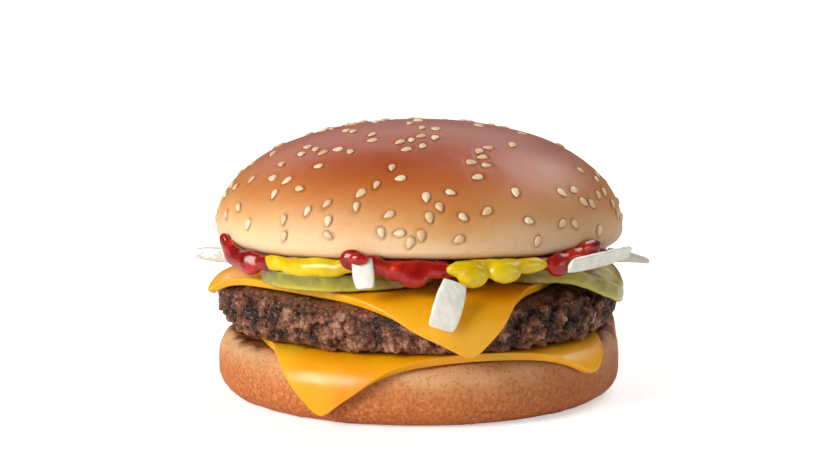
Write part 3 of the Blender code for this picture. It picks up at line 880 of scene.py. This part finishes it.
def beef_finish():
    made = Finish("browned_ground_beef")
    lump = made.value("lump")
    grain = made.noise(900, 5, 0.7)
    # Darker in the clefts and lighter on the lumps, with the grain: painted shade in the clefts
    warm = made.bands(
        made.math("ADD", made.math("MULTIPLY", lump, 0.66), made.math("MULTIPLY", grain, 0.5)),
        (0.28, rgb(20, 9, 5)),
        (0.43, rgb(70, 34, 20)),
        (0.54, rgb(128, 74, 48)),
        (0.66, rgb(176, 114, 82)),
        (0.82, rgb(222, 166, 132)),
    )
    char = made.reach(made.noise(90, 3), 0.52, 0.66, 0.0, 0.55)
    warm = made.blend(char, warm, made.blend(grain, rgba(18, 10, 8), rgba(92, 58, 46)))
    tan = made.reach(made.noise(75, 2, 0.5, 0.6), 0.52, 0.68, 0.0, 0.5)
    warm = made.blend(tan, warm, rgba(146, 86, 48))
    speck = made.noise(2400, 3, 0.6)
    # Painted glints: small pale pinkish specks
    warm = made.blend(made.reach(speck, 0.58, 0.66, 0.0, 0.6), warm, rgba(234, 186, 156))
    warm = made.blend(made.reach(speck, 0.36, 0.44, 0.75, 0.0), warm, rgba(22, 11, 8))
    # Painted shade: the beef is darker towards +X, the shaded right side
    right = made.reach(made.along("X"), 0.0, 50 * mm, 0.0, 0.35)
    warm = made.blend(right, warm, rgba(62, 34, 22))
    fine = made.bump(made.noise(1500, 5, 0.75), 0.5 * mm, 1.0)
    grit = made.bump(speck, 0.3 * mm, 0.9, fine)
    made.set(Base_Color=warm, Normal=grit)
    made.glossy(900, 0.14, 0.5, 3.0)
    made.shine(0.45)
    return made.material


# Cheese


def slice_edge(corners):
    """Points round the edge of a slice laid flat, its corners rounded."""
    points = []
    for corner, next_corner in zip(corners, corners[1:] + corners[:1]):
        swell, power = corner[2:]
        first, second = place(*corner[:2], 0), place(*next_corner[:2], 0)
        for i in range(SLICE_STEPS):
            share = i / SLICE_STEPS
            point = first.lerp(second, share)
            points.append(point * (1 + swell * math.sin(math.pi * share**power) / point.length))
    for _ in range(SLICE_ROUNDING):
        before, after = points[-1:] + points[:-1], points[1:] + points[:1]
        points = [(a + b * 2 + c) / 4 for a, b, c in zip(before, points, after)]
    return points


def reach_at(edge, bearing):
    """How far a slice's edge is from the axis at a bearing."""
    return max(point.length for point in edge if abs((bearing_of(point) - bearing + 180) % 360 - 180) < 2.5)


def walk(bed, reach, lift):
    """The (radius, height) found by going a distance along a bed profile, lifted off it."""
    for (r0, z0), (r1, z1) in zip(bed, bed[1:]):
        length = math.hypot(r1 - r0, z1 - z0)
        if reach <= length or (r1, z1) == bed[-1]:
            share = reach / length
            rise_r, rise_z = (z0 - z1) / length * lift, (r1 - r0) / length * lift
            return r0 + (r1 - r0) * share + rise_r, z0 + (z1 - z0) * share + rise_z
        reach -= length


def lower_bed(bearing):
    """The heel's upper side that the lower slice lies on."""
    radius, height = heel_rim(bearing)
    dish = radius - HEEL_DISH
    middle = (dish + radius) / 2, HEEL_HEIGHT + HEEL_DISH_RISE * (height - HEEL_HEIGHT)
    half_axes = HEEL_RADIUS - radius, height - HEEL_WIDEST
    side = arc((radius + SLICE_EASE, HEEL_WIDEST), half_axes, 90, 0, SLICE_BED_STEPS)
    return [(0.0, HEEL_HEIGHT), (dish, HEEL_HEIGHT), middle, *side, (HEEL_RADIUS, 0.0)]


def upper_bed(bearing):
    """The patty's upper side that the upper slice lies on."""
    widest, flat, _ = patty_sizes(bearing)
    half_axes = widest - flat, PATTY_TOP - PATTY_WIDEST
    side = arc((flat + SLICE_EASE, PATTY_WIDEST), half_axes, 90, 0, SLICE_BED_STEPS)
    return [(0.0, PATTY_TOP), *side, (side[-1][0] - SLICE_THICKNESS, PATTY_BASE)]


def make_cheese(node, name, corners, bed_at):
    """A slice drawn flat as rings inside its outline, then laid over its bed and given its thickness."""
    nothing_selected()
    edge = slice_edge(corners)
    bpy.ops.mesh.primitive_circle_add(vertices=len(edge), radius=1.0, fill_type="NGON")
    slice_ = bpy.context.object
    bpy.ops.object.mode_set(mode="EDIT")
    bpy.ops.mesh.select_mode(type="FACE")
    bpy.ops.mesh.select_all(action="SELECT")
    for _ in range(SLICE_RINGS):
        bpy.ops.mesh.inset(thickness=0.6 / SLICE_RINGS, use_even_offset=True)
    bpy.ops.object.mode_set(mode="OBJECT")
    lift = SLICE_LIFT + SLICE_THICKNESS / 2
    beds = {}
    for vert in slice_.data.vertices:
        i = round(math.atan2(vert.co.y, vert.co.x) / (2 * math.pi) * len(edge)) % len(edge)
        flat = edge[i] * min(1.0, math.hypot(vert.co.x, vert.co.y))
        bearing = bearing_of(flat)
        if i not in beds:
            beds[i] = bed_at(bearing)
        radius, height = walk(beds[i], flat.length, lift)
        vert.co = place(radius, bearing, height)
    settle_place(slice_, name)
    shaped_by(slice_, "SMOOTH", factor=0.5, iterations=4)
    bpy.ops.object.mode_set(mode="EDIT")
    bpy.ops.mesh.select_all(action="SELECT")
    bpy.ops.mesh.normals_make_consistent(inside=False)
    bpy.ops.object.mode_set(mode="OBJECT")
    shaped_by(slice_, "SOLIDIFY", thickness=SLICE_THICKNESS, offset=0.0)
    edges = {"limit_method": "ANGLE", "angle_limit": math.radians(50)}
    shaped_by(slice_, "BEVEL", width=0.45 * mm, segments=3, **edges)
    relief(slice_, "CLOUDS", 14.0 * mm, 0.3 * mm, 0.5)
    return finished(slice_, cheese_finish(), "cheese", node)


def cheese_finish():
    found = bpy.data.materials.get("sliced_cheese")
    if found:
        return found
    made = Finish("sliced_cheese")
    tones = {"Dark": rgba(244, 154, 2), "Middle": rgba(253, 174, 8), "Light": rgba(255, 188, 28)}
    made.set(Base_Color=made.group(colour_drift(), Scale=46, **tones))
    made.glossy(120, 0.26, 0.40)
    made.grainy(150, 900, 0.12, 0.01)
    made.deep(0.3, (1.0, 0.6, 0.12), 1.8 * mm)
    return made.material


# Pickles


def make_pickle(name, x, y, radius, droop, droop_bearing):
    nothing_selected()
    middle = PICKLE_BASE + PICKLE_THICKNESS / 2
    size = {"vertices": PICKLE_SEGMENTS, "radius": radius, "depth": PICKLE_THICKNESS}
    bpy.ops.mesh.primitive_cylinder_add(location=(x, y, middle), **size)
    pickle = bpy.context.object
    bpy.ops.object.mode_set(mode="EDIT")
    bpy.ops.mesh.select_mode(type="EDGE")
    bpy.ops.mesh.select_all(action="DESELECT")
    mesh = bmesh.from_edit_mesh(pickle.data)
    for edge in mesh.edges:
        edge.select = abs(edge.verts[0].co.z - edge.verts[1].co.z) > 1 * mm
    bmesh.update_edit_mesh(pickle.data)
    bpy.ops.mesh.subdivide(number_cuts=9)
    bpy.ops.mesh.select_all(action="DESELECT")
    mesh = bmesh.from_edit_mesh(pickle.data)
    for edge in mesh.edges:
        edge.select = edge.calc_face_angle(0) > math.radians(60)
    bmesh.update_edit_mesh(pickle.data)
    bpy.ops.mesh.bevel(offset=0.35 * mm, segments=3, profile=0.6)
    bpy.ops.mesh.select_mode(type="FACE")
    bpy.ops.mesh.select_all(action="DESELECT")
    mesh = bmesh.from_edit_mesh(pickle.data)
    for face in mesh.faces:
        face.select = len(face.verts) > 8
    bmesh.update_edit_mesh(pickle.data)
    for inset in (0.3, 0.4, 0.5, 0.6, 0.8, 1.0, 1.2, 1.5, 1.8, 2.0, 2.2):
        bpy.ops.mesh.inset(thickness=inset * mm, use_even_offset=False)
    settle_place(pickle, name + "_slice")
    tint(pickle, "upward", [(v.co.z - PICKLE_BASE) / PICKLE_THICKNESS for v in pickle.data.vertices])
    towards = place(1.0, droop_bearing, 0.0)

    def bent(p):
        reach = max(0.0, p.dot(towards) - DROOP_FROM)
        wave = 0.25 * mm * noise.noise(p * 70)
        return Vector((p.x, p.y, p.z - droop * reach**2 + wave))

    around = weight(pickle, "rim", lambda p: (math.hypot(p.x - x, p.y - y) - radius + 3 * mm) / (2 * mm))
    relief(pickle, "CLOUDS", 4.0 * mm, 0.5 * mm, 0.6, around)
    relief(pickle, "CLOUDS", 1.4 * mm, 0.18 * mm, 0.5, around)
    moved(pickle, bent)
    outward = [math.hypot(v.co.x - x, v.co.y - y) / radius for v in pickle.data.vertices]
    tint(pickle, "rind", [min(1.0, share) for share in outward])
    return finished(pickle, pickle_finish(), "pickle", name)


def pickle_finish():
    found = bpy.data.materials.get("pickle_flesh")
    if found:
        return found
    made = Finish("pickle_flesh")
    streaks = made.noise(1.0, 4, 0.6, 0.4, made.stretched((420, 420, 160)))
    flesh = made.bands(
        made.value("rind"),
        (0.0, rgb(156, 142, 60)),
        (0.45, rgb(186, 166, 78)),
        (0.80, rgb(178, 158, 70)),
        (0.93, rgb(152, 138, 40)),
    )
    # Colour up the rind's height: darker at the foot, a painted highlight low on the side, darker in the
    # upper half and a painted highlight at the top lip
    side = made.bands(
        made.value("upward"),
        (0.0, rgb(118, 112, 14)),
        (0.14, rgb(206, 186, 60)),
        (0.34, rgb(166, 150, 30)),
        (0.72, rgb(124, 120, 20)),
        (0.90, rgb(128, 120, 26)),
        (0.97, rgb(208, 192, 122)),
    )
    colour = made.blend(made.reach(made.value("rind"), 0.95, 0.985), flesh, side)
    colour = made.blend(made.reach(streaks, 0.40, 0.68, 0.0, 0.5), colour, rgba(196, 178, 50))
    dark = made.reach(made.noise(130, 3), 0.5, 0.7, 0.0, 0.6)
    colour = made.blend(dark, colour, rgba(84, 86, 10))
    made.set(Base_Color=colour)
    made.glossy(260, 0.1, 0.3)
    made.grainy(420, 1200, 0.3, 0.05)
    made.deep(0.2, (0.8, 0.7, 0.15), 1.2 * mm)
    made.wet(0.3, 0.08)
    return made.material


# Sauces

# Swells of a sauce in mm: radius from the axis, bearing, height, then half sizes out, round and up
BLOBS = {
    "ketchup_left": (
        (51.2, -63.5, 39.4, 1.0, 2.2, 2.0),
        (50.6, -61.5, 37.6, 1.4, 3.0, 2.4),
        (50.2, -57.0, 36.0, 1.8, 3.6, 2.2),
        (50.0, -51.0, 34.8, 1.8, 4.2, 2.2),
        (49.7, -45.0, 35.8, 1.3, 3.6, 1.7),
    ),
    "ketchup_front": (
        (50.6, -17.0, 38.4, 1.3, 2.8, 2.4),
        (50.4, -12.0, 37.2, 1.5, 3.8, 2.4),
        (53.3, -14.4, 39.0, 0.7, 2.3, 1.3),
        (49.8, -5.0, 35.9, 1.5, 4.6, 2.2),
        (50.0, -1.2, 34.3, 1.5, 3.2, 2.0),
        (49.5, 5.5, 36.0, 1.2, 5.0, 1.9),
    ),
    "ketchup_right": (
        (49.4, 34.5, 36.6, 1.2, 3.4, 1.5),
        (50.6, 38.8, 36.1, 1.9, 3.4, 2.9),
        (50.9, 44.5, 37.4, 1.5, 4.0, 2.0),
        (51.0, 50.5, 39.3, 1.3, 4.0, 1.7),
        (50.0, 57.0, 36.8, 1.2, 4.4, 1.3),
    ),
    "mustard_left": (
        (49.6, -40.5, 36.1, 1.3, 5.0, 1.9),
        (49.7, -33.0, 35.7, 1.5, 6.4, 2.0),
        (49.6, -25.5, 35.9, 1.4, 6.0, 1.9),
        (49.5, -19.5, 36.6, 1.1, 3.6, 1.5),
    ),
    "mustard_right": (
        (50.2, 11.0, 36.4, 1.5, 4.0, 1.9),
        (50.8, 13.6, 35.0, 2.0, 3.5, 2.8),
        (50.8, 22.0, 35.5, 1.9, 3.9, 2.6),
        (50.0, 29.5, 36.5, 1.4, 5.2, 1.8),
    ),
    "ketchup_back": (
        (50.4, 163.0, 38.4, 1.5, 3.4, 2.6),
        (50.2, 169.0, 36.4, 1.8, 4.6, 2.4),
        (49.6, 182.0, 36.0, 1.2, 5.0, 1.8),
    ),
    "mustard_back": ((49.8, 116.0, 36.0, 1.4, 4.4, 2.0), (49.9, 125.0, 36.2, 1.6, 4.6, 2.2)),
    "mustard_far_left": ((49.8, -131.0, 36.0, 1.4, 4.4, 2.0), (49.9, -122.0, 36.2, 1.6, 4.6, 2.2)),
}


def make_sauce(node, material):
    """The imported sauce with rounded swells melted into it."""
    sauce = copy_of(node, node + "_sauce", quads=False)
    lumps = []
    for radius, bearing, height, out, round_, up in BLOBS[node]:
        nothing_selected()
        bpy.ops.mesh.primitive_ico_sphere_add(subdivisions=4, radius=1.0)
        blob = bpy.context.object
        blob.scale = (round_ * mm, out * mm, up * mm)
        blob.rotation_euler = (0, 0, math.radians(bearing))
        blob.location = place(radius * mm, bearing, height * mm)
        lumps.append(settle_place(blob, "swell"))
    pick(sauce, *lumps)
    bpy.ops.object.join()
    sauce = bpy.context.object
    shaped_by(sauce, "REMESH", mode="VOXEL", voxel_size=SAUCE_VOXEL)
    shaped_by(sauce, "SMOOTH", factor=0.7, iterations=16)
    relief(sauce, "CLOUDS", 7.0 * mm, 0.9 * mm, 0.45)
    shaped_by(sauce, "SMOOTH", factor=0.5, iterations=4)
    settle_place(sauce, node + "_sauce")
    return finished(sauce, material, node.split("_")[0], node)


def ketchup_finish():
    made = Finish("ketchup")
    tones = {"Dark": rgba(104, 5, 0), "Middle": rgba(162, 15, 0), "Light": rgba(214, 42, 4)}
    made.set(Base_Color=made.group(colour_drift(), Scale=170, **tones))
    made.glossy(300, 0.14, 0.30)
    made.grainy(330, 1300, 0.55, 0.03)
    made.deep(0.08, (1.0, 0.12, 0.02), 0.8 * mm)
    made.wet(0.2, 0.06)
    return made.material


def mustard_finish():
    made = Finish("mustard")
    tones = {"Dark": rgba(208, 166, 0), "Middle": rgba(226, 194, 4), "Light": rgba(236, 210, 22)}
    made.set(Base_Color=made.group(colour_drift(), Scale=150, **tones))
    made.glossy(260, 0.14, 0.3)
    made.grainy(300, 1400, 0.22, 0.02)
    made.deep(0.2, (1.0, 0.8, 0.15), 1.0 * mm)
    return made.material


# Onion


def make_onion(node, material):
    """A cut strip with softened edges and the fine lines of an onion's layers."""
    onion = copy_of(node, node + "_strip")
    creased(onion, 45, 0.22)
    smoothed(onion, 4)
    relief(onion, "CLOUDS", 3.0 * mm, 0.3 * mm, 0.5)
    first = max(onion.data.vertices, key=lambda v: v.co.length).co.copy()
    last = max(onion.data.vertices, key=lambda v: (v.co - first).length).co.copy()
    along = (first - last).normalized()
    lines = []
    for vert in onion.data.vertices:
        aside = (vert.co - last) - along * (vert.co - last).dot(along)
        lines.append(aside.dot(along.orthogonal().normalized()) / mm)
    tint(onion, "layer", lines)
    return finished(onion, material, "onion", node)


def onion_finish():
    made = Finish("cut_onion")
    tones = {"Dark": rgba(226, 224, 206), "Middle": rgba(240, 238, 226), "Light": rgba(250, 249, 242)}
    colour = made.group(colour_drift(), Scale=220, **tones)
    # Painted shade: the strips are darker towards -X, the left
    glassy = made.reach(made.along("X"), -45 * mm, -5 * mm, 0.62, 0.0)
    colour = made.blend(glassy, colour, rgba(196, 192, 176))
    lines = made.math("SINE", made.math("MULTIPLY", made.value("layer"), 4.5))
    colour = made.blend(made.reach(lines, 0.0, 1.0, 0.0, 0.16), colour, rgba(206, 208, 186))
    made.set(Base_Color=colour)
    made.glossy(260, 0.16, 0.34)
    made.grainy(500, 1800, 0.05, 0.01)
    made.deep(0.4, (1.0, 1.0, 0.85), 1.4 * mm)
    made.wet(0.3, 0.1)
    return made.material


# Stage, light and camera


def make_floor():
    nothing_selected()
    bpy.ops.mesh.primitive_plane_add(size=60.0, location=(0, 0, 0))
    floor = bpy.context.object
    settle_place(floor, "floor")
    made = Finish("pale_floor")
    pale = made.blend(made.noise(2, 2), (0.9, 0.9, 0.9, 1), (0.92, 0.92, 0.92, 1))
    far = made.add("ShaderNodeVectorMath", {0: made.place}, operation="LENGTH").outputs["Value"]
    glow = made.blend(made.reach(far, 0.1, 0.45), (0.5, 0.5, 0.5, 1), (1.0, 1.0, 1.0, 1))
    seen = made.add("ShaderNodeLightPath").outputs["Is Camera Ray"]
    made.set(Base_Color=pale, Roughness=0.9)
    made.set(Emission_Color=glow, Emission_Strength=made.reach(seen, 0, 1, 0.14, 1.0))
    made.shine(0.1)
    floor.data.materials.append(made.material)


def soft_light(name, location, target, size, power):
    light = bpy.data.lights.new(name, "AREA")
    light.shape = "RECTANGLE"
    light.size, light.size_y = size
    light.energy = power
    obj = bpy.data.objects.new(name, light)
    obj.location = location
    obj.rotation_euler = (Vector(target) - Vector(location)).to_track_quat("-Z", "Y").to_euler()
    bpy.context.scene.collection.objects.link(obj)


def make_light():
    world = bpy.data.worlds.new("studio")
    world.use_nodes = True
    nodes, links = world.node_tree.nodes, world.node_tree.links
    fill = nodes["Background"]
    fill.inputs["Color"].default_value = (1, 1, 1, 1)
    fill.inputs["Strength"].default_value = WORLD_FILL
    seen = nodes.new("ShaderNodeBackground")
    seen.inputs["Strength"].default_value = 1.0
    either = nodes.new("ShaderNodeMixShader")
    links.new(nodes.new("ShaderNodeLightPath").outputs["Is Camera Ray"], either.inputs[0])
    links.new(fill.outputs[0], either.inputs[1])
    links.new(seen.outputs[0], either.inputs[2])
    links.new(either.outputs[0], nodes["World Output"].inputs["Surface"])
    seen.inputs["Color"].default_value = (1, 1, 1, 1)
    bpy.context.scene.world = world
    for name, light in LIGHTS.items():
        soft_light(name, *light)


def make_camera():
    camera = bpy.data.cameras.new("camera")
    camera.sensor_width = CAMERA_SENSOR
    camera.lens = CAMERA_LENS
    camera.shift_x = CAMERA_SHIFT
    camera.clip_start = 0.01
    obj = bpy.data.objects.new("camera", camera)
    obj.location = CAMERA_PLACE
    obj.rotation_euler = (math.radians(CAMERA_TILT), 0, 0)
    bpy.context.scene.collection.objects.link(obj)
    bpy.context.scene.camera = obj


def main():
    heel = make_heel()
    tint(heel, "toast", [toast_of(vert.co) for vert in heel.data.vertices])
    make_cheese("cheese_lower", "lower_cheese_slice", LOWER_SLICE, lower_bed)
    make_patty()
    make_cheese("cheese_upper", "upper_cheese_slice", UPPER_SLICE, upper_bed)
    for name, sizes in PICKLES.items():
        make_pickle(name, *sizes)
    red, yellow = ketchup_finish(), mustard_finish()
    for node in BLOBS:
        make_sauce(node, red if node.startswith("ketchup") else yellow)
    white = onion_finish()
    for node in sorted(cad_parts):
        if node.startswith("onion"):
            make_onion(node, white)
    spots = seed_spots()
    crown = make_crown(spots)
    make_seeds(spots, crown)
    make_floor()
    make_light()
    make_camera()
    bpy.context.scene.view_settings.view_transform = "Standard"


main()
